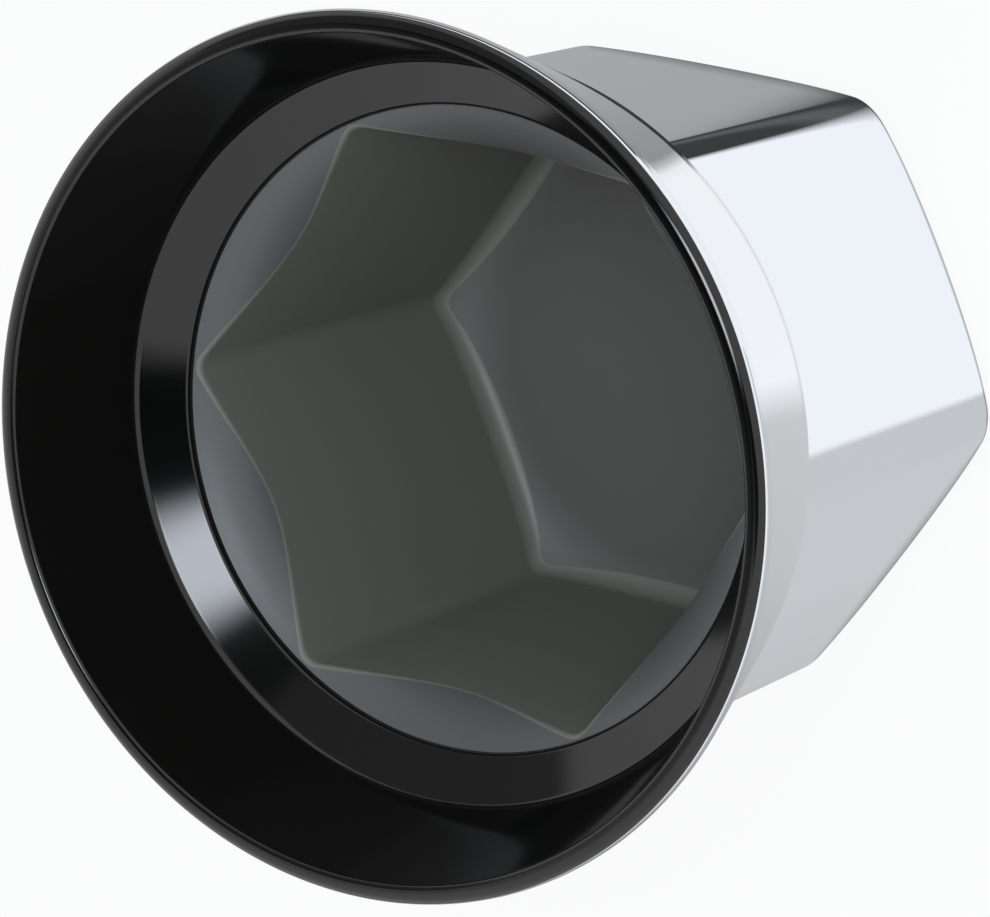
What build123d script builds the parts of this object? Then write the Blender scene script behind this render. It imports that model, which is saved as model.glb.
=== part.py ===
from build123d import *
import os
from math import atan, cos, hypot, pi, radians, sin, sqrt, tan

# Wheel nut cover cap, one moulded piece, all sizes in millimetres.
# The closed end lies on z = 0 and the open mouth looks up along +Z.

# The wheel nut that the cap is pushed onto
nut_across_flats = 32.0
nut_clearance = 0.4

# Hexagon body
side_wall = 2.0
hex_edge_round = 2.4
socket_edge_round = 1.45
socket_floor_round = 1.3
shoulder_height = 28.8

# Crowned closed end
crown_width = 7.0
crown_drop = 3.4
crown_wall = 1.8
crown_edge_round = 1.6

# Skirt around the mouth, outside
skirt_height = 12.2
skirt_flare = 3.9
shoulder_land = 0.64
shoulder_round = 0.5
shoulder_corner_round = 0.3
lip_outer_round = 0.8

# Skirt around the mouth, inside
lip_wall = 1.5
lip_inner_round = 0.3
skirt_wall_at_ring = 1.0
ring_rise = 1.5
ring_corner_round = 0.8
ledge_thickness = 1.4
socket_mouth_clearance = 0.2
socket_mouth_land = 0.4
socket_mouth_round = 0.35
lead_in_slope = 25.0
lead_in_drop = 2.9
lead_in_overlap = 0.1
socket_rim_round = 0.5

# How near an edge lies to a height to count as lying on it
edge_tolerance = 0.01

# Hexagons across the flats and out to the corners
socket_across_flats = nut_across_flats + nut_clearance
socket_corner_radius = socket_across_flats / sqrt(3)
body_across_flats = socket_across_flats + 2 * side_wall
body_corner_radius = body_across_flats / sqrt(3)
hex_corner_reach = body_corner_radius - hex_edge_round * (2 / sqrt(3) - 1)

# Crowned end, a flat with a rolled rim that drops towards the hexagon's corners
crown_flat_radius = body_corner_radius - crown_width
crown_round = (crown_width**2 + crown_drop**2) / (2 * crown_drop)

# Skirt, from the shoulder that clears the hexagon's corners out to the lip
skirt_angle = atan(skirt_flare / skirt_height)
shoulder_round_width = shoulder_round * tan((pi / 2 - skirt_angle) / 2)
shoulder_radius = hex_corner_reach + shoulder_land + shoulder_round_width
lip_radius = shoulder_radius + skirt_flare
lip_inner_radius = lip_radius - lip_wall
total_height = shoulder_height + skirt_height

# Bulging slope that leads into the socket and the sloping ring above it
ledge_height = shoulder_height + ledge_thickness
socket_mouth_radius = socket_corner_radius + socket_mouth_clearance
lead_in_foot_radius = socket_across_flats / 2 - lead_in_overlap
lead_in_foot_height = ledge_height - lead_in_drop
lead_in_start = (-cos(radians(lead_in_slope)), -sin(radians(lead_in_slope)))
ring_foot_height = ledge_height + socket_mouth_land
ring_top_height = ring_foot_height + ring_rise
skirt_radius_at_ring = shoulder_radius + (ring_top_height - shoulder_height) * tan(skirt_angle)
ring_top_radius = skirt_radius_at_ring - skirt_wall_at_ring


def rounded_hexagon(corner_radius, edge_round, height):
    """Hexagonal bar on z = 0 with its upright edges rounded and a flat facing -Y."""
    outline = RegularPolygon(corner_radius, 6)
    outline = fillet(outline.vertices(), edge_round)
    return extrude(outline, height)


def crowned_bar(flat_radius, rounding, bottom, outer_radius, height):
    """Round bar whose lower rim is rolled over by a wide rounding."""
    depth = outer_radius - flat_radius
    rise = rounding - sqrt(rounding**2 - depth**2)
    rolled_rim = TangentArc((flat_radius, bottom), (outer_radius, bottom + rise), tangent=(1, 0))
    outline = Curve() + [
        Line((0, bottom), (flat_radius, bottom)),
        rolled_rim,
        Line((outer_radius, bottom + rise), (outer_radius, height)),
        Line((outer_radius, height), (0, height)),
        Line((0, height), (0, bottom)),
    ]
    return revolve(Plane.XZ * make_face(outline), Axis.Z)


def corner(outline, radius, height):
    """Vertex of a profile nearest to a radius and a height."""
    return outline.vertices().sort_by_distance((radius, height, 0))[0]


def edges_at(shape, height):
    """Level edges of a shape that lie at one height."""
    level = shape.edges().filter_by(lambda e: e.bounding_box().size.Z < edge_tolerance)
    return level.filter_by(lambda e: abs(e.center().Z - height) < edge_tolerance)


def edges_within(edges, radius):
    """Edges whose middle lies nearer to the Z axis than a radius."""
    return edges.filter_by(lambda e: hypot((e @ 0.5).X, (e @ 0.5).Y) < radius)


def rounded_foot(bar, bottom, rounding):
    """Crowned hexagonal bar with the edge between its sides and its rolled rim rounded."""
    foot = bar.edges().filter_by(Axis.Z, reverse=True)
    foot = foot.filter_by_position(Axis.Z, bottom + edge_tolerance, shoulder_height)
    return fillet(foot, rounding)


# Outside of the hexagon body with its crowned closed end
body = rounded_hexagon(body_corner_radius, hex_edge_round, ledge_height)
body = body & crowned_bar(crown_flat_radius, crown_round, 0, body_corner_radius, ledge_height)
body = rounded_foot(body, 0, crown_edge_round)

# Outside of the skirt
skirt_profile = make_face(
    Polyline(
        (0, shoulder_height),
        (shoulder_radius, shoulder_height),
        (lip_radius, total_height),
        (0, total_height),
        close=True,
    )
)
skirt_profile = fillet(corner(skirt_profile, shoulder_radius, shoulder_height), shoulder_round)
skirt_profile = fillet(corner(skirt_profile, lip_radius, total_height), lip_outer_round)
skirt = revolve(Plane.XZ * skirt_profile, Axis.Z)

# Inside of the skirt, down over the bulging slope that leads into the socket
lead_in_foot = (lead_in_foot_radius, lead_in_foot_height)
mouth_outline = Curve() + [
    TangentArc((socket_mouth_radius, ledge_height), lead_in_foot, tangent=lead_in_start),
    Polyline(
        lead_in_foot,
        (0, lead_in_foot_height),
        (0, total_height),
        (lip_inner_radius, total_height),
        (ring_top_radius, ring_top_height),
        (socket_mouth_radius, ring_foot_height),
        (socket_mouth_radius, ledge_height),
    ),
]
mouth_profile = make_face(mouth_outline)
mouth_profile = fillet(corner(mouth_profile, ring_top_radius, ring_top_height), ring_corner_round)
mouth_profile = fillet(corner(mouth_profile, socket_mouth_radius, ring_foot_height), socket_mouth_round)
mouth = revolve(Plane.XZ * mouth_profile, Axis.Z)

# Nut socket, a hexagon whose floor follows the crown at an even wall
socket = rounded_hexagon(socket_corner_radius, socket_edge_round, ledge_height)
floor_round = crown_round - crown_wall
socket = socket & crowned_bar(crown_flat_radius, floor_round, crown_wall, socket_corner_radius, ledge_height)
socket = rounded_foot(socket, crown_wall, socket_floor_round)

cap = body + skirt - mouth - socket

# Small roundings where the mould is not sharp
cap = fillet(edges_within(edges_at(cap, shoulder_height), body_corner_radius), shoulder_corner_round)
cap = fillet(edges_at(cap, total_height).sort_by(SortBy.RADIUS)[0], lip_inner_round)
socket_rim = edges_within(cap.edges(), socket_corner_radius)
socket_rim = socket_rim.filter_by_position(Axis.Z, lead_in_foot_height, ledge_height - edge_tolerance)
socket_rim = socket_rim.filter_by(Axis.Z, reverse=True)
cap = fillet(socket_rim, socket_rim_round)

os.makedirs("parts", exist_ok=True)
cap.label = "nut_cover_cap"
export_step(cap, "parts/nut_cover_cap.step")
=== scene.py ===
import logging
import math
from dataclasses import dataclass, field, replace
from enum import Enum

import bpy
import numpy as np
from mathutils import Matrix, Vector


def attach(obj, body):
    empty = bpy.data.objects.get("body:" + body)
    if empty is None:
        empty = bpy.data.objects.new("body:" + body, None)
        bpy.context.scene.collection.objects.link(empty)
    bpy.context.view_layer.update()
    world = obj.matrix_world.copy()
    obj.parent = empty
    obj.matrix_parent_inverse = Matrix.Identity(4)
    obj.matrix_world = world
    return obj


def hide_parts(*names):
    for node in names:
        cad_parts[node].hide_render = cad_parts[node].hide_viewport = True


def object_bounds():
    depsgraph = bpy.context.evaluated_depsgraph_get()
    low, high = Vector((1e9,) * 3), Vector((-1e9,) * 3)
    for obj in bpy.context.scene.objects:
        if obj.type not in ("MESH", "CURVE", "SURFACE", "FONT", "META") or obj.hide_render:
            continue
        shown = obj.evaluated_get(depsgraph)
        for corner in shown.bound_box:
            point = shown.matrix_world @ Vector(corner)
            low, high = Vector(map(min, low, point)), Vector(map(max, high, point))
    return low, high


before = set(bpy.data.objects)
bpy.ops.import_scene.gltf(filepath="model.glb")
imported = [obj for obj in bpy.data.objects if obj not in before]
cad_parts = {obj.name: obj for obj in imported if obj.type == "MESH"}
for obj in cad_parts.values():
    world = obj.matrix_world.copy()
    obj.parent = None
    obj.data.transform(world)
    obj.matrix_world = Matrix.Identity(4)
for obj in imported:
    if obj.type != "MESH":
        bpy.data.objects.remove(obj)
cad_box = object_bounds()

LOG = logging.getLogger("nut_cover_cap")
MM = 0.001
NODE = "nut_cover_cap"
IMAGE_WIDTH = 990

# Sides of a hexagon, and angles of a section and of a hexagon in radians
SIDES = 6
QUARTER = math.pi / 2
SIXTH = math.pi / 3

# Octaves of the two noises in the shared skin
WAVE_DETAIL = 1.0
GRAIN_DETAIL = 3.0

WHITE = (1.0, 1.0, 1.0)

Value = float | np.ndarray
Place = tuple[Value, Value]
Rows = tuple[np.ndarray, np.ndarray]
Colour = tuple[float, float, float]
Tones = tuple[tuple[float, float], ...]
Feed = bpy.types.NodeSocket | float


class Region(Enum):
    """Finishes of the moulding, in the order of its material slots."""

    PLATED = 0
    BARE = 1
    # The lead-in, walls and floor are one dull plastic; their three tones are painted light and shade.
    LEAD_IN = 2
    WALLS = 3
    FLOOR = 4


Stretch = tuple[Region, Rows]


# Section helpers: every stretch of the section is a grid of radii and a grid of heights


def moved(start: Place, distance: float, angle: float) -> Place:
    """Point of a section at a distance from another one.

    The point is start + distance * (cos, sin) of the angle.

    Args:
        start: radius and height of the first point.
        distance: distance between the points.
        angle: direction in radians, 0 outwards and a quarter turn upwards.

    Returns:
        Radius and height of the other point.
    """
    return start[0] + distance * math.cos(angle), start[1] + distance * math.sin(angle)


def straight(start: Place, end: Place, rows: int) -> Rows:
    """Straight stretch of a section.

    Each point is start + share * (end - start); the share runs from 0 to 1 as half a cosine wave, which
    crowds the rows towards both ends, next to the roundings.

    Args:
        start: radius and height at the first row, numbers or one value per column.
        end: radius and height at the last row.
        rows: number of rows, both ends included.

    Returns:
        Grids of radii and heights, rows by columns.
    """
    share = (0.5 - 0.5 * np.cos(np.linspace(0.0, math.pi, rows)))[:, None]
    radius = start[0] + share * (np.asarray(end[0]) - start[0])
    height = start[1] + share * (np.asarray(end[1]) - start[1])
    return radius, height


def rounding(centre: Place, size: float, first: Value, last: Value, rows: int) -> Rows:
    """Round stretch of a section.

    Each point is centre + size * (cos, sin) of an angle that goes evenly from first to last.

    Args:
        centre: radius and height of the rounding's centre, numbers or one value per column.
        size: radius of the rounding.
        first: angle at the first row in radians, 0 outwards and a quarter turn upwards.
        last: angle at the last row.
        rows: number of rows, both ends included.

    Returns:
        Grids of radii and heights, rows by columns.
    """
    share = np.linspace(0.0, 1.0, rows)[:, None]
    angle = first + share * (np.asarray(last) - first)
    return centre[0] + size * np.cos(angle), centre[1] + size * np.sin(angle)


def hexagon_reach(angle: np.ndarray, across_flats: float, edge_round: float) -> np.ndarray:
    """Distance from the axis to a rounded hexagon with corners on +X and -X.

    With a turn measured from the nearest flat's middle, a flat lies at half the size across flats divided by
    the cosine of the turn. Past the flat's end the reach is that of a circle about the centre of the corner's
    rounding.

    Args:
        angle: directions around the axis, in radians.
        across_flats: size across two opposite flats.
        edge_round: radius of the rounded upright edges.

    Returns:
        One distance per direction.
    """
    turn = np.abs(np.mod(angle, SIXTH) - SIXTH / 2)
    inner = across_flats / 2
    flat = inner / np.cos(turn)
    centre = (inner - edge_round) / math.cos(SIXTH / 2)
    off = SIXTH / 2 - turn
    round_part = centre * np.cos(off) + np.sqrt(np.maximum(edge_round**2 - (centre * np.sin(off)) ** 2, 0.0))
    on_flat = inner * np.tan(turn) <= (inner - edge_round) * math.tan(SIXTH / 2)
    return np.where(on_flat, flat, round_part)


@dataclass(frozen=True)
class Moulding:
    """Sizes of the one-piece moulding, in millimetres, with its closed end on z = 0 and its mouth up."""

    nut_across_flats: float = 32.0
    nut_clearance: float = 0.4
    side_wall: float = 2.0
    hex_edge_round: float = 2.4
    socket_edge_round: float = 1.45
    socket_floor_round: float = 1.3
    shoulder_height: float = 28.8
    crown_width: float = 7.0
    crown_drop: float = 3.4
    crown_wall: float = 1.8
    crown_edge_round: float = 1.6
    skirt_height: float = 12.2
    skirt_flare: float = 3.9
    shoulder_land: float = 0.64
    shoulder_round: float = 0.5
    shoulder_corner_round: float = 0.3
    lip_outer_round: float = 0.8
    lip_wall: float = 1.5
    lip_inner_round: float = 0.3
    skirt_wall_at_ring: float = 1.0
    ring_rise: float = 1.5
    ring_corner_round: float = 0.8
    ledge_thickness: float = 1.4
    socket_mouth_clearance: float = 0.2
    socket_mouth_land: float = 0.4
    socket_mouth_round: float = 0.35
    lead_in_slope_deg: float = 25.0
    lead_in_drop: float = 2.9
    lead_in_overlap: float = 0.1
    socket_rim_round: float = 0.5
    ledge_corner_round: float = 0.04

    @property
    def socket_across_flats(self) -> float:
        """Hexagon socket across its flats."""
        return self.nut_across_flats + self.nut_clearance

    @property
    def body_across_flats(self) -> float:
        """Hexagon body across its flats."""
        return self.socket_across_flats + 2 * self.side_wall

    @property
    def body_corner_radius(self) -> float:
        """Distance from the axis to the body's corners before they are rounded."""
        return self.body_across_flats / math.sqrt(3)

    @property
    def crown_flat_radius(self) -> float:
        """Radius of the flat in the middle of the closed end."""
        return self.body_corner_radius - self.crown_width

    @property
    def crown_round(self) -> float:
        """Radius of the rolled rim around that flat."""
        return (self.crown_width**2 + self.crown_drop**2) / (2 * self.crown_drop)

    @property
    def skirt_angle(self) -> float:
        """Lean of the skirt's outside from upright, in radians."""
        return math.atan(self.skirt_flare / self.skirt_height)

    @property
    def shoulder_round_width(self) -> float:
        """How far the shoulder's rounding reaches in over the shoulder."""
        return self.shoulder_round * math.tan((QUARTER - self.skirt_angle) / 2)

    @property
    def shoulder_radius(self) -> float:
        """Radius of the shoulder's corner before it is rounded."""
        reach = self.body_corner_radius - self.hex_edge_round * (2 / math.sqrt(3) - 1)
        return reach + self.shoulder_land + self.shoulder_round_width

    @property
    def lip_radius(self) -> float:
        """Radius of the lip's outer corner before it is rounded."""
        return self.shoulder_radius + self.skirt_flare

    @property
    def total_height(self) -> float:
        """Height of the lip above the closed end."""
        return self.shoulder_height + self.skirt_height

    @property
    def ledge_height(self) -> float:
        """Height at which the bulging slope into the socket begins."""
        return self.shoulder_height + self.ledge_thickness

    @property
    def socket_mouth_radius(self) -> float:
        """Radius of the short upright wall that the slope begins at."""
        return self.socket_across_flats / math.sqrt(3) + self.socket_mouth_clearance

    @property
    def lead_in_round(self) -> float:
        """Radius of the slope's bulge.

        Returns:
            Half the slope's chord divided by the sine of half its turn.
        """
        run = self.socket_mouth_radius - self.socket_across_flats / 2 + self.lead_in_overlap
        half_turn = math.atan2(self.lead_in_drop, run) - math.radians(self.lead_in_slope_deg)
        return math.hypot(run, self.lead_in_drop) / (2 * math.sin(half_turn))

    @property
    def lead_in_centre(self) -> tuple[float, float]:
        """Centre of the slope's bulge, square to the slope where it begins."""
        slope = math.radians(self.lead_in_slope_deg)
        return moved((self.socket_mouth_radius, self.ledge_height), self.lead_in_round, slope - QUARTER)

    @property
    def lead_in_corner(self) -> tuple[float, float]:
        """Centre of the tiny rounding between the upright wall and the slope.

        Returns:
            Radius and height of a point that lies the rounding's radius away from both.
        """
        low = self.ledge_corner_round
        centre = self.lead_in_centre
        radius = self.socket_mouth_radius - low
        rise = math.sqrt((self.lead_in_round + low) ** 2 - (radius - centre[0]) ** 2)
        return radius, centre[1] + rise

    @property
    def lead_in_from(self) -> float:
        """Direction from the bulge's centre to the place where the slope begins, in radians."""
        centre, corner = self.lead_in_centre, self.lead_in_corner
        return math.atan2(corner[1] - centre[1], corner[0] - centre[0])

    @property
    def ring_foot(self) -> tuple[float, float]:
        """Radius and height of the sloping ring's inner corner."""
        return self.socket_mouth_radius, self.ledge_height + self.socket_mouth_land

    @property
    def ring_top(self) -> tuple[float, float]:
        """Outer corner of the sloping ring.

        Returns:
            Its radius, a wall's thickness inside the skirt's outside, and its height.
        """
        height = self.ring_foot[1] + self.ring_rise
        outside = self.shoulder_radius + (height - self.shoulder_height) * math.tan(self.skirt_angle)
        return outside - self.skirt_wall_at_ring, height

    @property
    def wall_lean(self) -> float:
        """Lean of the skirt's inside from upright, in radians."""
        top, height = self.ring_top
        return math.atan((self.lip_radius - self.lip_wall - top) / (self.total_height - height))

    @property
    def lip_outer_centre(self) -> tuple[float, float]:
        """Centre of the lip's outer rounding."""
        width = self.lip_outer_round / math.tan((QUARTER - self.skirt_angle) / 2)
        return self.lip_radius - width, self.total_height - self.lip_outer_round

    @property
    def lip_inner_centre(self) -> tuple[float, float]:
        """Centre of the lip's inner rounding."""
        width = self.lip_inner_round / math.tan((QUARTER + self.wall_lean) / 2)
        return self.lip_radius - self.lip_wall + width, self.total_height - self.lip_inner_round


@dataclass(frozen=True)
class GridCounts:
    """Columns of the mesh in each sixth of a turn, and rows across each stretch, both ends included."""

    columns_per_flat: int = 44
    columns_per_edge: int = 28
    end_flat: int = 5
    crown: int = 14
    crown_edge: int = 12
    side: int = 14
    shoulder_root: int = 7
    shoulder: int = 6
    shoulder_edge: int = 12
    skirt: int = 14
    lip_plated: int = 9
    lip_bare: int = 8
    lip_flat: int = 5
    lip_inner: int = 12
    skirt_inside: int = 16
    ring_corner: int = 10
    ring: int = 10
    bead: int = 9
    mouth_land: int = 4
    ledge_corner: int = 4
    lead_in: int = 14
    socket_rim: int = 8
    socket_wall: int = 16
    floor_corner: int = 12
    floor_roll: int = 12
    floor_flat: int = 5


@dataclass
class CapShell:
    """The whole cap as one closed surface over an angle around the axis and a place along the section.

    The plating runs over plated_share of the lip's outer rounding, counted from level.
    """

    sizes: Moulding = field(default_factory=Moulding)
    counts: GridCounts = field(default_factory=GridCounts)
    plated_share: float = 0.35

    def angles(self) -> np.ndarray:
        """Directions of the mesh's columns.

        Each sixth of a turn runs from corner to corner: columns at even steps along the flat, crowded towards
        its ends by half a cosine wave, and columns at even steps of the corner rounding's own angle.

        Returns:
            Rising angles in radians, the first one on a hexagon corner, the closing one left out.
        """
        edge_round = self.sizes.hex_edge_round
        centre = (self.sizes.body_across_flats / 2 - edge_round) / math.cos(SIXTH / 2)
        own = np.linspace(-SIXTH / 2, SIXTH / 2, self.counts.columns_per_edge + 1)
        edge = np.arctan2(edge_round * np.sin(own), centre + edge_round * np.cos(own))
        even = np.linspace(0.0, 1.0, self.counts.columns_per_flat + 1)[1:-1]
        wave = 0.5 - 0.5 * np.cos(even * math.pi)
        flat = edge[-1] + (SIXTH - 2 * edge[-1]) * (even + wave) / 2
        one = np.concatenate([edge, flat])
        return np.sort((one[None, :] + SIXTH * np.arange(SIDES)[:, None]).ravel())

    def section(self, angle: np.ndarray) -> list[Stretch]:
        """Stretches of the section, from the middle of the closed end, over the lip, to the socket's floor.

        Where the moulding is hexagonal the radius follows the rounded hexagon, so that a stretch has another
        radius in every column. Where it is round the radius is one number.

        Args:
            angle: directions of the columns, in radians.

        Returns:
            Finish and grids of radii and heights of each stretch, in order.
        """
        return self.outside(angle) + self.lip() + self.inside() + self.socket(angle)

    def outside(self, angle: np.ndarray) -> list[Stretch]:
        """Crowned end, hexagon sides, shoulder and the outside of the skirt.

        The edge between a side and the rolled rim is a rounding that touches both: its centre lies the edge's
        radius inside the hexagon, and the rim's radius less the edge's radius away from the rim's centre.

        Args:
            angle: directions of the columns, in radians.

        Returns:
            Stretches from the middle of the closed end to the lip.
        """
        s, n = self.sizes, self.counts
        reach = hexagon_reach(angle, s.body_across_flats, s.hex_edge_round)
        flat, crown, edge = s.crown_flat_radius, s.crown_round, s.crown_edge_round
        edge_in = reach - edge
        edge_up = crown - np.sqrt((crown - edge) ** 2 - (edge_in - flat) ** 2)
        meet = np.arctan2(edge_up - crown, edge_in - flat)
        shoulder, root, lean = s.shoulder_height, s.shoulder_corner_round, s.skirt_angle
        turn = (s.shoulder_radius - s.shoulder_round_width, shoulder + s.shoulder_round)
        skirt_foot = moved(turn, s.shoulder_round, -lean)
        skirt_top = moved(s.lip_outer_centre, s.lip_outer_round, -lean)
        stretches = [
            straight((0.0, 0.0), (flat, 0.0), n.end_flat),
            rounding((flat, crown), crown, -QUARTER, meet, n.crown),
            rounding((edge_in, edge_up), edge, meet, 0.0, n.crown_edge),
            straight((reach, edge_up), (reach, shoulder - root), n.side),
            rounding((reach + root, shoulder - root), root, math.pi, QUARTER, n.shoulder_root),
            straight((reach + root, shoulder), (turn[0], shoulder), n.shoulder),
            rounding(turn, s.shoulder_round, -QUARTER, -lean, n.shoulder_edge),
            straight(skirt_foot, skirt_top, n.skirt),
        ]
        return [(Region.PLATED, rows) for rows in stretches]

    def lip(self) -> list[Stretch]:
        """Rolled lip, from the skirt's outside to its inside.

        Returns:
            Plated and bare stretches of the outer rounding, the flat on top and the inner rounding.
        """
        s, n = self.sizes, self.counts
        outer, inner = s.lip_outer_centre, s.lip_inner_centre
        top = s.total_height
        plated_to = self.plated_share * QUARTER
        plated = rounding(outer, s.lip_outer_round, -s.skirt_angle, plated_to, n.lip_plated)
        bare = [
            rounding(outer, s.lip_outer_round, plated_to, QUARTER, n.lip_bare),
            straight((outer[0], top), (inner[0], top), n.lip_flat),
            rounding(inner, s.lip_inner_round, QUARTER, math.pi - s.wall_lean, n.lip_inner),
        ]
        return [(Region.PLATED, plated)] + [(Region.BARE, rows) for rows in bare]

    def inside(self) -> list[Stretch]:
        """Skirt's inside, the rounded corner below it, the sloping ring and the short upright wall.

        A rounding between two straight stretches begins and ends at its radius times the tangent of half its
        turn away from the corner.

        Returns:
            Bare stretches from the lip to the place where the slope into the socket begins.
        """
        s, n = self.sizes, self.counts
        top, foot = s.ring_top, s.ring_foot
        slope = math.atan2(top[1] - foot[1], top[0] - foot[0])
        wall_normal, ring_normal = math.pi - s.wall_lean, QUARTER + slope
        corner, bead = s.ring_corner_round, s.socket_mouth_round
        corner_step = corner * math.tan((wall_normal - ring_normal) / 2)
        bead_step = bead * math.tan((math.pi - ring_normal) / 2)
        wall_top = moved(s.lip_inner_centre, s.lip_inner_round, wall_normal)
        wall_foot = moved(top, corner_step, QUARTER - s.wall_lean)
        corner_centre = moved(wall_foot, corner, wall_normal)
        ring_start = moved(top, -corner_step, slope)
        ring_end = moved(foot, bead_step, slope)
        bead_centre = (foot[0] + bead, foot[1] - bead_step)
        ledge_turn = s.lead_in_from - math.pi
        stretches = [
            straight(wall_top, wall_foot, n.skirt_inside),
            rounding(corner_centre, corner, wall_normal - math.pi, ring_normal - math.pi, n.ring_corner),
            straight(ring_start, ring_end, n.ring),
            rounding(bead_centre, bead, ring_normal, math.pi, n.bead),
            straight((foot[0], bead_centre[1]), (foot[0], s.lead_in_corner[1]), n.mouth_land),
            rounding(s.lead_in_corner, s.ledge_corner_round, 0.0, ledge_turn, n.ledge_corner),
        ]
        return [(Region.BARE, rows) for rows in stretches]

    def socket(self, angle: np.ndarray) -> list[Stretch]:
        """Bulging slope that leads in, the socket's rim, its six walls and its floor.

        The rim is a rounding that touches the wall and the slope, and the floor's corner is one that touches
        the wall and the floor's roll. Both are placed as the closed end's outer edge is.

        Args:
            angle: directions of the columns, in radians.

        Returns:
            Stretches from the slope's beginning to the middle of the floor.
        """
        s, n = self.sizes, self.counts
        reach = hexagon_reach(angle, s.socket_across_flats, s.socket_edge_round)
        rim, low = s.socket_rim_round, s.socket_floor_round
        lead, centre = s.lead_in_round, s.lead_in_centre
        rim_in = reach + rim
        rim_up = centre[1] + np.sqrt((lead - rim) ** 2 - (centre[0] - rim_in) ** 2)
        turn = np.arctan2(rim_up - centre[1], rim_in - centre[0])
        flat, crown = s.crown_flat_radius, s.crown_round - s.crown_wall
        middle = s.crown_wall + crown
        corner_in = reach - low
        corner_up = middle - np.sqrt((crown - low) ** 2 - (corner_in - flat) ** 2)
        meet = np.arctan2(corner_up - middle, corner_in - flat)
        return [
            (Region.LEAD_IN, rounding(centre, lead, s.lead_in_from, turn, n.lead_in)),
            (Region.WALLS, rounding((rim_in, rim_up), rim, turn, math.pi, n.socket_rim)),
            (Region.WALLS, straight((reach, rim_up), (reach, corner_up), n.socket_wall)),
            (Region.WALLS, rounding((corner_in, corner_up), low, 0.0, meet, n.floor_corner)),
            (Region.FLOOR, rounding((flat, middle), crown, meet, -QUARTER, n.floor_roll)),
            (Region.FLOOR, straight((flat, s.crown_wall), (0.0, s.crown_wall), n.floor_flat)),
        ]

    def build(self) -> bpy.types.Object:
        """Closed mesh of the cap.

        A point is (radius cos angle, radius sin angle, height) with the section's radius and height. The rows
        between the two poles are joined by four-sided faces and each pole by a fan of triangles.

        Returns:
            The new object, with one material index per face.
        """
        angle = self.angles()
        columns = len(angle)
        radii, heights, finishes = [], [], []
        for region, (radius, height) in self.section(angle):
            keep = slice(1, None) if radii else slice(0, None)
            shape = (radius.shape[0], columns)
            radii.append(np.broadcast_to(radius, shape)[keep])
            heights.append(np.broadcast_to(height, shape)[keep])
            finishes.append(np.full(len(radii[-1]), region.value))
        radius, height = np.concatenate(radii) * MM, np.concatenate(heights) * MM
        finish = np.concatenate(finishes)
        rings = np.stack([radius * np.cos(angle), radius * np.sin(angle), height], axis=2)[1:-1]
        poles = np.array([[0.0, 0.0, height[0, 0]], [0.0, 0.0, height[-1, 0]]])
        rows = rings.shape[0]
        points = np.concatenate([rings.reshape(-1, 3), poles])
        index = np.arange(rows * columns).reshape(rows, columns)
        right = np.roll(index, -1, axis=1)
        quads = np.stack([index[:-1], right[:-1], right[1:], index[1:]], axis=2).reshape(-1, 4)
        first, last = rows * columns, rows * columns + 1
        bottom = np.stack([np.full(columns, first), right[0], index[0]], axis=1)
        top = np.stack([np.full(columns, last), index[-1], right[-1]], axis=1)
        faces = quads.tolist() + bottom.tolist() + top.tolist()
        fans = [np.full(columns, finish[1]), np.full(columns, finish[-1])]
        slots = np.concatenate([np.repeat(finish[2:-1], columns), *fans])
        mesh = bpy.data.meshes.new("plated_cap")
        mesh.from_pydata(points.tolist(), [], faces)
        mesh.polygons.foreach_set("material_index", slots.astype(np.int32))
        mesh.polygons.foreach_set("use_smooth", np.ones(len(faces), dtype=bool))
        mesh.update()
        cap = bpy.data.objects.new("plated_cap", mesh)
        bpy.context.scene.collection.objects.link(cap)
        return cap

    def dress(self, cap: bpy.types.Object, finishes: dict[Region, "SkinFinish"]) -> None:
        """Gives the cap its finishes and ties it to the frame.

        Args:
            cap: the object that build made.
            finishes: the finish of each region.
        """
        for region in Region:
            cap.data.materials.append(finishes[region].material())
        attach(cap, "root")
        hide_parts(NODE)


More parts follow.
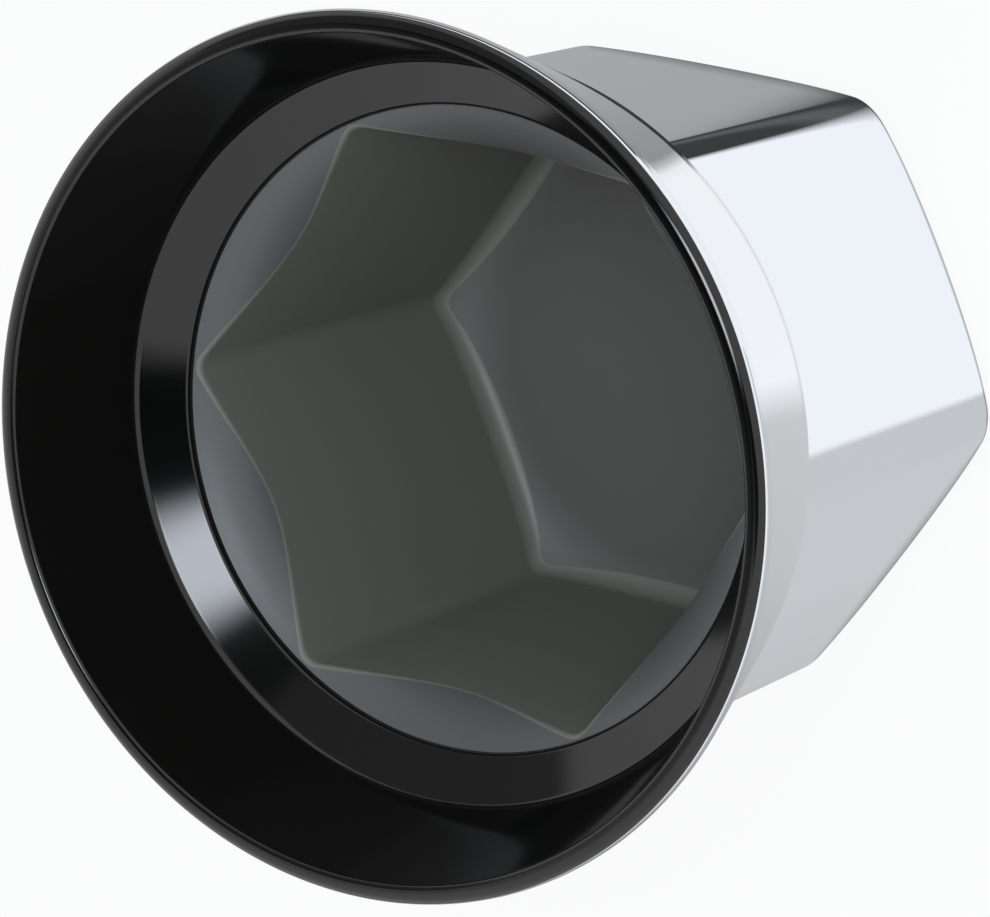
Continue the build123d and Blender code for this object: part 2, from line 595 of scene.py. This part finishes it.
@dataclass
class NodeBoard:
    """A node tree with short calls to add nodes and to join them."""

    tree: bpy.types.NodeTree

    def add(self, kind: str, **settings: object) -> bpy.types.Node:
        """Adds a node and sets its properties.

        Args:
            kind: the node's type name.
            **settings: properties of the node.

        Returns:
            The new node.
        """
        node = self.tree.nodes.new(kind)
        for name, value in settings.items():
            setattr(node, name, value)
        return node

    def join(self, source: bpy.types.NodeSocket, target: bpy.types.NodeSocket) -> None:
        """Joins an output to an input."""
        self.tree.links.new(source, target)

    def calc(self, operation: str, *values: Feed) -> bpy.types.NodeSocket:
        """Works out a number from others.

        Args:
            operation: the Math node's operation.
            *values: its inputs in order, each a socket or a fixed number.

        Returns:
            The result.
        """
        node = self.add("ShaderNodeMath", operation=operation)
        for target, value in zip(node.inputs, values):
            if isinstance(value, bpy.types.NodeSocket):
                self.join(value, target)
            else:
                target.default_value = value
        return node.outputs[0]

    def spread(
        self,
        value: bpy.types.NodeSocket,
        given: tuple[float, float] = (0.0, 1.0),
        wanted: tuple[float, float] = (0.0, 1.0),
        course: str = "LINEAR",
    ) -> bpy.types.NodeSocket:
        """Carries a value from one range to another and holds it at both ends.

        Args:
            value: the value to carry.
            given: the range that it comes in.
            wanted: the range that it goes out in.
            course: how it runs between the ends.

        Returns:
            The value in the wanted range.
        """
        node = self.add("ShaderNodeMapRange", interpolation_type=course)
        for label, end in zip(("From Min", "From Max", "To Min", "To Max"), (*given, *wanted)):
            node.inputs[label].default_value = end
        self.join(value, node.inputs["Value"])
        return node.outputs["Result"]

    def ramp(self, value: bpy.types.NodeSocket, tones: Tones) -> bpy.types.NodeSocket:
        """Tone that follows a value through a list of stops.

        Args:
            value: the value to follow.
            tones: pairs of a value and the tone there, rising.

        Returns:
            The tone as a colour.
        """
        first, last = tones[0][0], tones[-1][0]
        node = self.add("ShaderNodeValToRGB")
        stops = node.color_ramp.elements
        stops.remove(stops[1])
        for number, (at, tone) in enumerate(tones):
            place = (at - first) / (last - first)
            stop = stops.new(place) if number else stops[0]
            stop.position = place
            stop.color = (tone, tone, tone, 1.0)
        self.join(self.spread(value, (first, last)), node.inputs["Fac"])
        return node.outputs["Color"]

    def background_rays(self) -> bpy.types.NodeSocket:
        """Joins the light path's camera, glossy and transmission rays into one mask.

        Returns:
            A value that is 1 for those rays and 0 for the rest.
        """
        path = self.add("ShaderNodeLightPath").outputs
        seen = self.calc("MAXIMUM", path["Is Camera Ray"], path["Is Glossy Ray"])
        return self.calc("MAXIMUM", seen, path["Is Transmission Ray"])


def moulded_skin() -> bpy.types.NodeTree:
    """Shared group: slow waves and fine grain of a moulded surface.

    Two noises over Object coordinates: one of wide soft waves, one of fine grain. Height adds them, each with
    its own share; Mottle is the waves alone, from 0 to 1.

    Returns:
        The node group, made once.
    """
    name = "moulded_skin"
    if name in bpy.data.node_groups:
        return bpy.data.node_groups[name]
    tree = bpy.data.node_groups.new(name, "ShaderNodeTree")
    for label in ("Wave Scale", "Grain Scale", "Wave Share", "Grain Share"):
        tree.interface.new_socket(label, in_out="INPUT", socket_type="NodeSocketFloat")
    for label in ("Height", "Mottle"):
        tree.interface.new_socket(label, in_out="OUTPUT", socket_type="NodeSocketFloat")
    board = NodeBoard(tree)
    given = board.add("NodeGroupInput").outputs
    result = board.add("NodeGroupOutput").inputs
    place = board.add("ShaderNodeTexCoord")
    noises = []
    for scale, detail in (("Wave Scale", WAVE_DETAIL), ("Grain Scale", GRAIN_DETAIL)):
        noise = board.add("ShaderNodeTexNoise")
        noise.inputs["Detail"].default_value = detail
        board.join(place.outputs["Object"], noise.inputs["Vector"])
        board.join(given[scale], noise.inputs["Scale"])
        noises.append(noise.outputs["Fac"])
    waves, grain = noises
    wave_part = board.calc("MULTIPLY", waves, given["Wave Share"])
    height = board.calc("MULTIPLY_ADD", grain, given["Grain Share"], wave_part)
    board.join(height, result["Height"])
    board.join(waves, result["Mottle"])
    return tree


@dataclass(frozen=True)
class SkinFinish:
    """A finish of the moulding: a shader with the shared skin on its colour, roughness and bump."""

    name: str
    colour: Colour
    mottled: Colour
    metallic: float
    roughness: tuple[float, float]
    ior: float
    wave_scale: float
    grain_scale: float
    wave_share: float
    grain_share: float
    bump_strength: float
    bump_mm: float

    def material(self) -> bpy.types.Material:
        """Builds the finish.

        Returns:
            A material whose colour and roughness move between two values with the skin's waves.
        """
        made = bpy.data.materials.new(self.name)
        made.use_nodes = True
        board = NodeBoard(made.node_tree)
        shader = made.node_tree.nodes["Principled BSDF"]
        shader.inputs["Metallic"].default_value = self.metallic
        shader.inputs["IOR"].default_value = self.ior
        skin = board.add("ShaderNodeGroup", node_tree=moulded_skin())
        skin.inputs["Wave Scale"].default_value = self.wave_scale
        skin.inputs["Grain Scale"].default_value = self.grain_scale
        skin.inputs["Wave Share"].default_value = self.wave_share
        skin.inputs["Grain Share"].default_value = self.grain_share
        tint = board.add("ShaderNodeMix", data_type="RGBA")
        tint.inputs["A"].default_value = (*self.colour, 1.0)
        tint.inputs["B"].default_value = (*self.mottled, 1.0)
        board.join(skin.outputs["Mottle"], tint.inputs["Factor"])
        board.join(tint.outputs["Result"], shader.inputs["Base Color"])
        gloss = board.spread(skin.outputs["Mottle"], wanted=self.roughness)
        board.join(gloss, shader.inputs["Roughness"])
        bump = board.add("ShaderNodeBump")
        bump.inputs["Strength"].default_value = self.bump_strength
        bump.inputs["Distance"].default_value = self.bump_mm * MM
        board.join(skin.outputs["Height"], bump.inputs["Height"])
        board.join(bump.outputs["Normal"], shader.inputs["Normal"])
        return made


BRIGHT_PLATE = SkinFinish(
    name="bright_plate",
    colour=(0.85, 0.89, 0.95),
    mottled=(0.83, 0.87, 0.93),
    metallic=1.0,
    roughness=(0.03, 0.06),
    ior=1.5,
    wave_scale=110.0,
    grain_scale=1500.0,
    wave_share=1.0,
    grain_share=0.03,
    bump_strength=0.02,
    bump_mm=0.3,
)
BARE_BLACK = SkinFinish(
    name="bare_black",
    colour=(0.0035, 0.0036, 0.0034),
    mottled=(0.005, 0.005, 0.0046),
    metallic=0.0,
    roughness=(0.06, 0.11),
    ior=1.53,
    wave_scale=90.0,
    grain_scale=2000.0,
    wave_share=1.0,
    grain_share=0.05,
    bump_strength=0.03,
    bump_mm=0.2,
)
DULL_LEAD_IN = SkinFinish(
    name="dull_lead_in",
    colour=(0.104, 0.108, 0.107),
    mottled=(0.114, 0.118, 0.117),
    metallic=0.0,
    roughness=(0.40, 0.46),
    ior=1.55,
    wave_scale=130.0,
    grain_scale=6000.0,
    wave_share=0.4,
    grain_share=1.0,
    bump_strength=0.12,
    bump_mm=0.02,
)
# The socket's walls and floor are the lead-in's dull plastic with painted light: the walls are painted
# lighter and more olive than the lead-in, and the floor a little lighter.
WALLS_PAINTED_LIGHTER = replace(
    DULL_LEAD_IN,
    name="walls_painted_lighter",
    colour=(0.192, 0.194, 0.160),
    mottled=(0.212, 0.214, 0.180),
)
FLOOR_PAINTED_LIGHTER = replace(
    DULL_LEAD_IN,
    name="floor_painted_lighter",
    colour=(0.134, 0.131, 0.116),
    mottled=(0.145, 0.142, 0.127),
)
FINISHES = {
    Region.PLATED: BRIGHT_PLATE,
    Region.BARE: BARE_BLACK,
    Region.LEAD_IN: DULL_LEAD_IN,
    Region.WALLS: WALLS_PAINTED_LIGHTER,
    Region.FLOOR: FLOOR_PAINTED_LIGHTER,
}


def direction(azimuth_deg: float, elevation_deg: float) -> Vector:
    """Unit vector towards a place in the studio.

    Args:
        azimuth_deg: direction around the Z axis, 0 on -Y and 90 on +X.
        elevation_deg: angle above the floor.

    Returns:
        The vector, away from the cap.
    """
    azimuth, elevation = math.radians(azimuth_deg), math.radians(elevation_deg)
    level = math.cos(elevation)
    return Vector((math.sin(azimuth) * level, -math.cos(azimuth) * level, math.sin(elevation)))


@dataclass(frozen=True)
class Softbox:
    """A square lamp that looks at the cap from a direction."""

    name: str
    azimuth_deg: float
    elevation_deg: float
    distance_mm: float
    side_mm: float
    radiance: float
    colour: Colour

    def place(self, aim: Vector) -> bpy.types.Object:
        """Makes the lamp; its power is pi times radiance times area.

        Args:
            aim: the point it looks at, in metres.

        Returns:
            The lamp's object.
        """
        lamp = bpy.data.lights.new(self.name, "AREA")
        lamp.size = self.side_mm * MM
        lamp.energy = math.pi * self.radiance * lamp.size**2
        lamp.color = self.colour
        made = bpy.data.objects.new(self.name, lamp)
        back = direction(self.azimuth_deg, self.elevation_deg)
        made.location = aim + back * self.distance_mm * MM
        made.rotation_mode = "QUATERNION"
        made.rotation_quaternion = back.to_track_quat("Z", "Y")
        # The lamp's own reflection is left out; the glow panel paints a highlight in its place.
        made.visible_glossy = False
        bpy.context.scene.collection.objects.link(made)
        return made


@dataclass(frozen=True)
class Panel:
    """A round panel with a soft rim that the moulding mirrors, seen only in reflections, where it paints a
    dark reflection or a highlight.
    """

    name: str
    azimuth_deg: float
    elevation_deg: float
    distance_mm: float
    half_angle_deg: float
    soft_share: float
    radiance: float
    colour: Colour = WHITE


@dataclass(frozen=True)
class ShadePaintedHand:
    """Graded part of the floor card beside its white strip: its greys are painted shade and painted dark
    reflections for the hexagon's sides.

    The tones follow 0.866 y - 0.5 |x| in millimetres. The strip ends where x + lean y is the first value of
    border_mm, and the tones have taken over at the second one.
    """

    tones: Tones
    border_mm: tuple[float, float]
    lean: float


@dataclass(frozen=True)
class RingCard:
    """A ring-shaped card, seen only in reflections, whose tones are painted reflections; they follow the
    direction in degrees, 0 on +X and rising towards +Y.
    """

    name: str
    inner_mm: float
    outer_mm: float
    tones: Tones


@dataclass(frozen=True)
class Studio:
    """Pale floor, white surround, and the cards and panels that the moulding mirrors, which paint
    reflections, highlights and shade on it.
    """

    floor_radius_mm: float = 6000.0
    floor_drop_mm: float = 0.02
    floor_colour: Colour = (0.82, 0.82, 0.82)
    floor_roughness: float = 0.8
    floor_glow: float = 0.9
    surround_level: float = 0.6
    floor_card_mm: float = 160.0
    floor_card_lift_mm: float = 0.15
    painted_contact_shadow_mm: tuple[float, float] = (18.5, 19.1)
    painted_contact_shadow_tone: float = 0.5
    ring_card_height_mm: float = 28.3
    panel_aim_mm: float = 31.0
    sheet_steps: int = 96

    def sheet(self, name: str, outer_mm: float, height_mm: float, inner_mm: float = 0.0) -> bpy.types.Object:
        """Flat disc or ring about the Z axis.

        It is two circles of points at radius times (cos, sin), joined by faces. In a disc the inner circle is
        one point.

        Args:
            name: name of the object.
            outer_mm: radius of the outer circle.
            height_mm: its height.
            inner_mm: radius of the inner circle, 0 for a disc.

        Returns:
            The sheet.
        """
        steps = self.sheet_steps
        around = np.linspace(0.0, 2 * math.pi, steps, endpoint=False)
        rim = np.stack([np.cos(around), np.sin(around), np.zeros(steps)], axis=1) * outer_mm * MM
        middle = rim * (inner_mm / outer_mm) if inner_mm else np.zeros((1, 3))
        points = np.concatenate([rim, middle]) + np.array([0.0, 0.0, height_mm * MM])
        index = np.arange(steps)
        after = np.roll(index, -1)
        inner = steps + index if inner_mm else np.full(steps, steps)
        corners = [index, after, steps + after, inner] if inner_mm else [inner, index, after]
        mesh = bpy.data.meshes.new(name)
        mesh.from_pydata(points.tolist(), [], np.stack(corners, axis=1).tolist())
        mesh.update()
        made = bpy.data.objects.new(name, mesh)
        bpy.context.scene.collection.objects.link(made)
        LOG.info("%s: stage sheet of %.1f mm radius", name, outer_mm)
        return made

    def floor(self) -> None:
        """Pale floor that looks white and still keeps a soft shadow."""
        made = self.sheet("floor", self.floor_radius_mm, -self.floor_drop_mm)
        material = bpy.data.materials.new("pale_floor")
        material.use_nodes = True
        nodes = material.node_tree.nodes
        board = NodeBoard(material.node_tree)
        shader = nodes["Principled BSDF"]
        shader.inputs["Base Color"].default_value = (*self.floor_colour, 1.0)
        shader.inputs["Roughness"].default_value = self.floor_roughness
        glow = board.add("ShaderNodeEmission")
        blend = board.add("ShaderNodeMixShader")
        share = board.calc("MULTIPLY", board.background_rays(), self.floor_glow)
        board.join(share, blend.inputs["Fac"])
        board.join(shader.outputs["BSDF"], blend.inputs[1])
        board.join(glow.outputs["Emission"], blend.inputs[2])
        board.join(blend.outputs["Shader"], nodes["Material Output"].inputs["Surface"])
        made.data.materials.append(material)

    def surround(self) -> None:
        """World that is white to the camera and to reflections and lights the rest at a plain level."""
        world = bpy.data.worlds.new("white_surround")
        world.use_nodes = True
        bpy.context.scene.world = world
        board = NodeBoard(world.node_tree)
        shade = world.node_tree.nodes["Background"]
        level = board.spread(board.background_rays(), wanted=(self.surround_level, 1.0))
        board.join(level, shade.inputs["Strength"])
        shade.inputs["Color"].default_value = (*WHITE, 1.0)

    def mirrored_only(self, made: bpy.types.Object) -> tuple[NodeBoard, bpy.types.Node]:
        """Hides a stage piece from everything but reflections and gives it a plain glow.

        Args:
            made: the stage piece.

        Returns:
            Its material's board and emission node.
        """
        made.visible_camera = False
        made.visible_diffuse = False
        made.visible_shadow = False
        material = bpy.data.materials.new(made.name)
        material.use_nodes = True
        nodes = material.node_tree.nodes
        nodes.remove(nodes["Principled BSDF"])
        board = NodeBoard(material.node_tree)
        glow = board.add("ShaderNodeEmission")
        board.join(glow.outputs["Emission"], nodes["Material Output"].inputs["Surface"])
        made.data.materials.append(material)
        return board, glow

    def painted_floor_shade_card(self, hands: tuple[ShadePaintedHand, ...]) -> None:
        """Card on the floor for the hexagon's sides, seen only in reflections: a white strip in front and a
        graded part of painted shade on each hand.

        The graded parts follow 0.866 y - 0.5 |x|. Seen from the camera's side, an upright line on a hexagon's
        side mirrors floor points of one such value, which changes from edge to edge. A painted contact shadow
        lies around the foot, where the larger of |y| and 0.866 |x| + 0.5 |y| is near half the size across
        flats.

        Args:
            hands: the graded parts.
        """
        card = self.sheet("painted_floor_shade_card", self.floor_card_mm, self.floor_card_lift_mm)
        board, glow = self.mirrored_only(card)
        place = board.add("ShaderNodeTexCoord")
        in_mm = board.add("ShaderNodeVectorMath", operation="SCALE")
        in_mm.inputs["Scale"].default_value = 1.0 / MM
        parts = board.add("ShaderNodeSeparateXYZ")
        board.join(place.outputs["Object"], in_mm.inputs[0])
        board.join(in_mm.outputs["Vector"], parts.inputs["Vector"])
        x, y = parts.outputs["X"], parts.outputs["Y"]
        aside, front = board.calc("ABSOLUTE", x), board.calc("ABSOLUTE", y)
        sine, cosine = math.sin(SIXTH), math.cos(SIXTH)
        along = board.calc("MULTIPLY_ADD", y, sine, board.calc("MULTIPLY", aside, -cosine))
        tone = None
        for hand in hands:
            across = board.calc("MULTIPLY_ADD", y, hand.lean, x)
            blend = board.add("ShaderNodeMix", data_type="RGBA")
            blend.inputs["A"].default_value = (*WHITE, 1.0)
            if tone is not None:
                board.join(tone, blend.inputs["A"])
            board.join(board.ramp(along, hand.tones), blend.inputs["B"])
            board.join(board.spread(across, hand.border_mm), blend.inputs["Factor"])
            tone = blend.outputs["Result"]
        board.join(tone, glow.inputs["Color"])
        # Painted contact shadow: the card's glow is dimmed around the hexagon's foot.
        slanted = board.calc("MULTIPLY_ADD", aside, sine, board.calc("MULTIPLY", front, cosine))
        reach = board.calc("MAXIMUM", front, slanted)
        shade = board.spread(reach, self.painted_contact_shadow_mm, (self.painted_contact_shadow_tone, 1.0))
        board.join(shade, glow.inputs["Strength"])

    def ring_card(self, card: RingCard) -> None:
        """Places a card for the skirt, just under the shoulder; its tones are painted reflections.

        Args:
            card: its size and its tones.
        """
        made = self.sheet(card.name, card.outer_mm, self.ring_card_height_mm, card.inner_mm)
        board, glow = self.mirrored_only(made)
        place = board.add("ShaderNodeTexCoord")
        around = board.add("ShaderNodeTexGradient", gradient_type="RADIAL")
        board.join(place.outputs["Object"], around.inputs["Vector"])
        turn_deg = board.spread(around.outputs["Fac"], wanted=(-180.0, 180.0))
        board.join(board.ramp(turn_deg, card.tones), glow.inputs["Color"])

    def panel(self, panel: Panel) -> None:
        """Places a round panel that faces the cap and is seen by reflections alone.

        Its tone is full in the middle and fades out towards its rim, over the last share of its radius.

        Args:
            panel: where it stands and how it looks.
        """
        back = direction(panel.azimuth_deg, panel.elevation_deg)
        radius = panel.distance_mm * math.tan(math.radians(panel.half_angle_deg))
        made = self.sheet(panel.name, radius, 0.0)
        made.rotation_mode = "QUATERNION"
        made.rotation_quaternion = back.to_track_quat("Z", "Y")
        made.location = Vector((0.0, 0.0, self.panel_aim_mm * MM)) + back * panel.distance_mm * MM
        board, glow = self.mirrored_only(made)
        glow.inputs["Color"].default_value = (*panel.colour, 1.0)
        glow.inputs["Strength"].default_value = panel.radiance
        place = board.add("ShaderNodeTexCoord")
        scaled = board.add("ShaderNodeVectorMath", operation="SCALE")
        scaled.inputs["Scale"].default_value = 1.0 / (radius * MM)
        inwards = board.add("ShaderNodeTexGradient", gradient_type="SPHERICAL")
        clear = board.add("ShaderNodeBsdfTransparent")
        blend = board.add("ShaderNodeMixShader")
        board.join(place.outputs["Object"], scaled.inputs[0])
        board.join(scaled.outputs["Vector"], inwards.inputs["Vector"])
        fade = board.spread(inwards.outputs["Fac"], (0.0, panel.soft_share), course="SMOOTHSTEP")
        board.join(fade, blend.inputs["Fac"])
        board.join(clear.outputs["BSDF"], blend.inputs[1])
        board.join(glow.outputs["Emission"], blend.inputs[2])
        board.join(blend.outputs["Shader"], board.tree.nodes["Material Output"].inputs["Surface"])


# Painted shade on the floor card's +X hand, with a border that leans across the front
UPPER_HAND = ShadePaintedHand(
    tones=(
        (-60.0, 0.05),
        (-27.0, 0.05),
        (-24.5, 0.12),
        (-23.0, 0.11),
        (-21.5, 0.05),
        (-20.2, 0.055),
        (-19.5, 0.225),
        (-18.75, 0.335),
        (-18.0, 0.39),
        (-10.5, 0.42),
        (0.0, 0.48),
        (30.0, 0.55),
    ),
    border_mm=(-6.1, -2.5),
    lean=0.78,
)
# Painted shade on the floor card's -X hand
LOWER_HAND = ShadePaintedHand(
    tones=(
        (-30.0, 0.64),
        (-15.0, 0.62),
        (-10.5, 0.58),
        (0.0, 0.40),
        (30.0, 0.50),
    ),
    border_mm=(-8.2, -8.6),
    lean=0.0,
)
# Cards whose tones are painted reflections on the skirt's outside; the shoulder card's dark tones paint a
# shadow line along the shoulder.
SKIRT_PAINTED_REFLECTION = RingCard(
    name="skirt_painted_reflection",
    inner_mm=21.8,
    outer_mm=45.0,
    tones=(
        (-180.0, 0.30),
        (-150.0, 0.45),
        (-130.0, 0.56),
        (-106.0, 0.62),
        (-100.0, 0.98),
        (-63.5, 0.94),
        (-61.0, 0.30),
        (-53.0, 0.33),
        (-35.0, 0.44),
        (0.0, 0.50),
        (90.0, 0.50),
        (180.0, 0.30),
    ),
)
SHOULDER_PAINTED_REFLECTION = RingCard(
    name="shoulder_painted_reflection",
    inner_mm=20.9,
    outer_mm=21.8,
    tones=(
        (-180.0, 0.30),
        (-130.0, 0.56),
        (-106.0, 0.62),
        (-100.0, 0.80),
        (-66.0, 0.80),
        (-62.0, 0.04),
        (0.0, 0.05),
        (60.0, 0.30),
        (180.0, 0.30),
    ),
)

# Panels seen only in reflections: the two flags paint black reflections on the sloping ring and the lip's
# inside, and the shade card paints a dark grey one on the ring's lower part.
DARK_FLAG = Panel(
    name="dark_flag",
    azimuth_deg=-38.0,
    elevation_deg=67.0,
    distance_mm=320.0,
    half_angle_deg=16.0,
    soft_share=0.4,
    radiance=0.0,
)
OVERHEAD_FLAG = Panel(
    name="overhead_flag",
    azimuth_deg=120.0,
    elevation_deg=75.0,
    distance_mm=330.0,
    half_angle_deg=42.0,
    soft_share=0.7,
    radiance=0.0,
)
SHADE_CARD = Panel(
    name="shade_card",
    azimuth_deg=102.0,
    elevation_deg=44.0,
    distance_mm=300.0,
    half_angle_deg=28.0,
    soft_share=0.2,
    radiance=0.25,
)
# A glowing panel, no lamp, that paints the highlight on the sloping ring in place of the key softbox's own
# reflection.
PAINTED_HIGHLIGHT_PANEL = Panel(
    name="glow",
    azimuth_deg=17.0,
    elevation_deg=71.0,
    distance_mm=240.0,
    half_angle_deg=12.0,
    soft_share=0.6,
    radiance=12.0,
    colour=(0.88, 0.94, 1.03),
)
KEY_SOFTBOX = Softbox(
    name="key_softbox",
    azimuth_deg=5.0,
    elevation_deg=63.0,
    distance_mm=420.0,
    side_mm=165.0,
    radiance=8.0,
    colour=(0.84, 0.94, 1.12),
)


@dataclass(frozen=True)
class PhotoCamera:
    """Camera of the reference view, looking down into the mouth with the cap's axis turned to the left."""

    aim_mm: tuple[float, float, float] = (-2.04, -0.14, 28.2)
    distance_mm: float = 260.0
    azimuth_deg: float = -1.54
    elevation_deg: float = 56.81
    roll_deg: float = -108.95
    focal_px: float = 4500.0
    sensor_mm: float = 36.0
    clip_start_mm: float = 10.0

    def place(self) -> bpy.types.Object:
        """Makes the camera and hands it to the scene.

        Returns:
            The camera's object.
        """
        lens = bpy.data.cameras.new("photo_camera")
        lens.sensor_width = self.sensor_mm
        lens.lens = self.focal_px / IMAGE_WIDTH * self.sensor_mm
        lens.clip_start = self.clip_start_mm * MM
        camera = bpy.data.objects.new("photo_camera", lens)
        back = direction(self.azimuth_deg, self.elevation_deg)
        upright = back.to_track_quat("Z", "Y")
        roll = Matrix.Rotation(math.radians(self.roll_deg), 4, "Z").to_quaternion()
        camera.rotation_mode = "QUATERNION"
        camera.rotation_quaternion = upright @ roll
        camera.location = Vector(self.aim_mm) * MM + back * self.distance_mm * MM
        bpy.context.scene.collection.objects.link(camera)
        bpy.context.scene.camera = camera
        return camera


def main() -> None:
    """Builds the cap with its finishes, the studio and the camera."""
    logging.basicConfig(level=logging.INFO, format="%(name)s: %(message)s")
    bpy.context.scene.view_settings.view_transform = "Standard"
    shell = CapShell()
    cap = shell.build()
    shell.dress(cap, FINISHES)
    LOG.info("%s: %d points, %d faces", cap.name, len(cap.data.vertices), len(cap.data.polygons))
    studio = Studio()
    studio.floor()
    studio.surround()
    studio.painted_floor_shade_card((UPPER_HAND, LOWER_HAND))
    for card in (SKIRT_PAINTED_REFLECTION, SHOULDER_PAINTED_REFLECTION):
        studio.ring_card(card)
    for panel in (DARK_FLAG, OVERHEAD_FLAG, SHADE_CARD, PAINTED_HIGHLIGHT_PANEL):
        studio.panel(panel)
    middle = (cad_box[0] + cad_box[1]) / 2
    for made in (KEY_SOFTBOX.place(middle), PhotoCamera().place()):
        LOG.info("%s at %s", made.name, [round(value, 3) for value in made.location])


if __name__ == "__main__":
    main()
